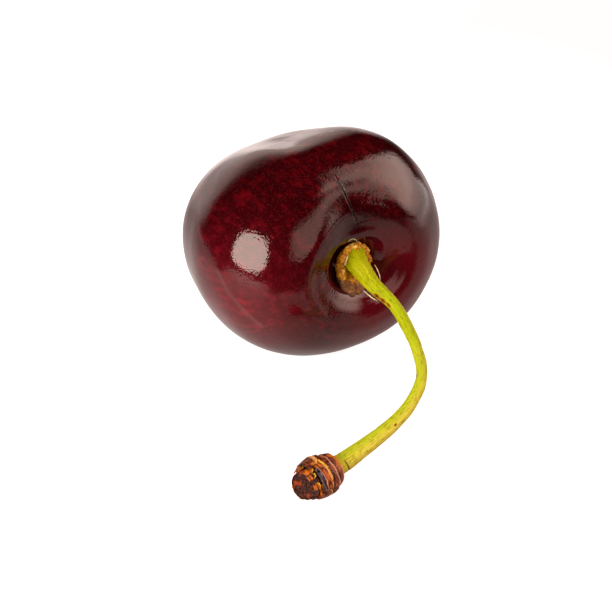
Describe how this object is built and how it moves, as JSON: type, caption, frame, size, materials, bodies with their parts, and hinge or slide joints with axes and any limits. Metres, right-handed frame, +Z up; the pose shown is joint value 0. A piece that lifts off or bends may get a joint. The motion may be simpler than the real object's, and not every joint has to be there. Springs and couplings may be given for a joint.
{
  "type": "cherry",
  "caption": "Dark red sweet cherry lying on its back on a small flat spot, with its curved green stem and the scaly woody spur end that the stem grew from.",
  "frame": {"origin": "middle of the small flat spot that the fruit rests on, on the surface it lies on", "axes": "+Z up; -Y towards the side that the stem comes out of and bends down to; +X to the right when seen from that side"},
  "size_m": [0.027, 0.0416, 0.0222],
  "materials": {
    "skin": "glossy dark red skin with fine paler flecks",
    "stem": "satin yellow-green, fresh plant stem",
    "collar": "dry orange-brown cork, rough",
    "bark": "dark brown bark and rough cut wood",
    "scale": "dry brown bud scale, satin, with pale edges"
  },
  "bodies": {
    "root": {"fruit": "skin", "stem": "stem", "stem_collar": "collar", "spur_knob": "bark", "bud_scale_1": "scale", "bud_scale_2": "scale", "bud_scale_3": "scale", "bud_scale_4": "scale", "bud_scale_5": "scale", "bud_scale_6": "scale", "bud_scale_7": "scale", "bud_scale_8": "scale"}
  },
  "joints": []
}
